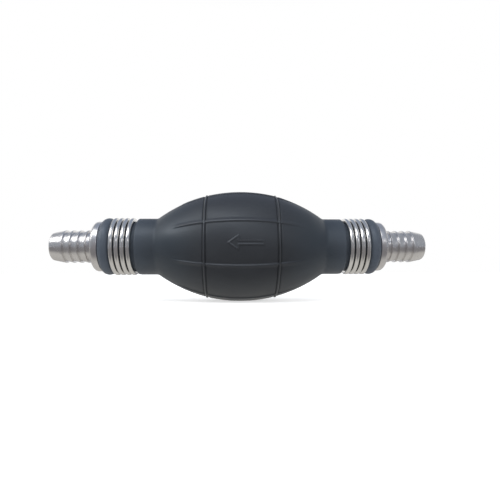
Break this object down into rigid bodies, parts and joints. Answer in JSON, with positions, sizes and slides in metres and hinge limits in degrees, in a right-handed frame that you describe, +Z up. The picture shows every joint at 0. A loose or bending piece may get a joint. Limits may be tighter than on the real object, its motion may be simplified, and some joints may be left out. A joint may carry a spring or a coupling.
{
  "type": "siphon bulb pump",
  "caption": "Hand-squeezed in-line priming pump: moulded rubber bulb with wire-clamped aluminium hose barbs at its ends and sprung check valves inside that pass fuel one way.",
  "frame": {"origin": "middle of the bulb, on the pump's axis", "axes": "X along the pump's axis with the inlet at +X and the outlet at -X, so fuel flows towards -X; the flow arrow and the thumb's wall face -Y; Z up"},
  "size_m": [0.1696, 0.0504, 0.05],
  "materials": {
    "bulb_rubber": "satin black rubber, moulded",
    "barb_aluminium": "fine turned",
    "clamp_steel": "bright drawn wire",
    "spring_steel": "drawn",
    "valve_acetal": "natural white, moulded",
    "seal_nitrile": "matt black"
  },
  "bodies": {
    "pump_body": {"rubber_bulb": "bulb_rubber", "outlet_hose_barb": "barb_aluminium", "outlet_clamp_wire": "clamp_steel", "outlet_valve_body": "valve_acetal", "outlet_body_o_ring": "seal_nitrile", "outlet_valve_spring": "spring_steel", "outlet_spring_cage": "valve_acetal", "outlet_retaining_ring": "spring_steel", "inlet_hose_barb": "barb_aluminium", "inlet_clamp_wire": "clamp_steel", "inlet_valve_body": "valve_acetal", "inlet_body_o_ring": "seal_nitrile", "inlet_valve_spring": "spring_steel", "inlet_spring_cage": "valve_acetal", "inlet_retaining_ring": "spring_steel"},
    "outlet_poppet_body": {"outlet_poppet": "valve_acetal", "outlet_poppet_seal": "seal_nitrile"},
    "inlet_poppet_body": {"inlet_poppet": "valve_acetal", "inlet_poppet_seal": "seal_nitrile"},
    "thumb_wall_body": {"thumb_wall": "bulb_rubber"},
    "finger_wall_body": {"finger_wall": "bulb_rubber"}
  },
  "joints": [
    {"name": "outlet_poppet_lift", "type": "slide", "parent": "pump_body", "child": "outlet_poppet_body", "axis": [-1, 0, 0], "range_m": [0, 0.0025], "stiffness_N_per_m": 380, "springref_m": -0.0005, "deforming": ["outlet_valve_spring"]},
    {"name": "inlet_poppet_lift", "type": "slide", "parent": "pump_body", "child": "inlet_poppet_body", "axis": [-1, 0, 0], "range_m": [0, 0.0025], "stiffness_N_per_m": 380, "springref_m": -0.0005, "deforming": ["inlet_valve_spring"]},
    {"name": "thumb_squeeze", "type": "slide", "parent": "pump_body", "child": "thumb_wall_body", "axis": [0, 1, 0], "range_m": [0, 0.0075], "stiffness_N_per_m": 1500},
    {"name": "finger_squeeze", "type": "slide", "parent": "pump_body", "child": "finger_wall_body", "axis": [0, -1, 0], "range_m": [0, 0.0075], "stiffness_N_per_m": 1500}
  ],
  "couplings": [
    {"joint": "finger_squeeze", "follows": "thumb_squeeze", "ratio": 1}
  ]
}
